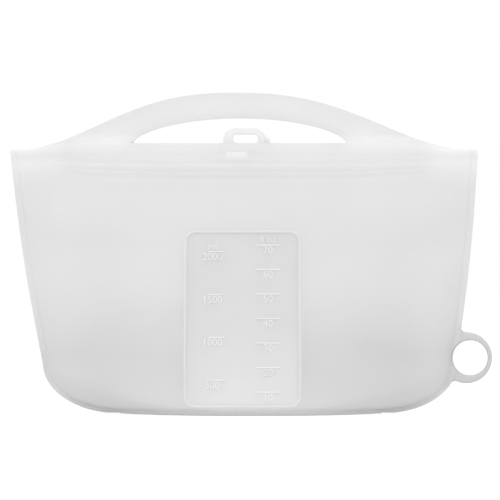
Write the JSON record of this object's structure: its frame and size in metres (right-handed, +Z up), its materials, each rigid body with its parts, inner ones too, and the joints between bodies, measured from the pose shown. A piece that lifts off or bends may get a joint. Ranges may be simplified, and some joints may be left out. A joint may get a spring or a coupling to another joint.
{
  "type": "reusable silicone bag",
  "caption": "Stand-up translucent silicone food bag with a press-seal mouth, pull tabs, an arched carry handle, a clear measuring window and a side hanging ring.",
  "frame": {"origin": "middle of the underside of the foot, on the surface that the bag stands on", "axes": "+X along the mouth, towards the side with the hanging ring; -Y out of the front with the measuring window; +Z up"},
  "size_m": [0.2997, 0.0972, 0.1993],
  "materials": {
    "frosted_silicone": "frosted translucent, satin",
    "clear_silicone": "clear, semi-gloss"
  },
  "bodies": {
    "bag_back": {"base_pan": "frosted_silicone", "back_wall": "frosted_silicone", "left_side_seam": "frosted_silicone", "right_lower_seam": "frosted_silicone", "right_upper_seam": "frosted_silicone", "back_lip": "frosted_silicone", "upper_groove_rail": "frosted_silicone", "middle_groove_rail": "frosted_silicone", "lower_groove_rail": "frosted_silicone"},
    "front_panel": {"front_wall": "frosted_silicone", "front_lip": "frosted_silicone", "upper_tongue_rail": "frosted_silicone", "middle_tongue_rail": "frosted_silicone", "lower_tongue_rail": "frosted_silicone", "measuring_window": "clear_silicone", "window_frame": "frosted_silicone"},
    "front_tab": {"front_pull_tab": "frosted_silicone"},
    "rear_tab": {"rear_pull_tab": "frosted_silicone"},
    "handle": {"carry_handle": "frosted_silicone"},
    "ring": {"hanging_ring": "frosted_silicone"}
  },
  "joints": [
    {"name": "mouth_opening", "type": "hinge", "parent": "bag_back", "child": "front_panel", "pos_m": [0, -0.048, 0.004], "axis": [1, 0, 0], "range_deg": [0, 24], "stiffness_Nm_per_rad": 0.06},
    {"name": "front_tab_flex", "type": "hinge", "parent": "front_panel", "child": "front_tab", "pos_m": [0.0003, -0.0037, 0.1693], "axis": [1, 0, 0], "range_deg": [0, 75], "stiffness_Nm_per_rad": 0.004},
    {"name": "rear_tab_flex", "type": "hinge", "parent": "bag_back", "child": "rear_tab", "pos_m": [0.0033, 0.0037, 0.1693], "axis": [1, 0, 0], "range_deg": [-75, 0], "stiffness_Nm_per_rad": 0.004},
    {"name": "handle_flex", "type": "hinge", "parent": "bag_back", "child": "handle", "pos_m": [0, 0.0037, 0.1703], "axis": [1, 0, 0], "range_deg": [-40, 40], "stiffness_Nm_per_rad": 0.06},
    {"name": "ring_flex", "type": "hinge", "parent": "bag_back", "child": "ring", "pos_m": [0.1293, 0, 0.0345], "axis": [0, 0, 1], "range_deg": [-45, 45], "stiffness_Nm_per_rad": 0.02}
  ]
}
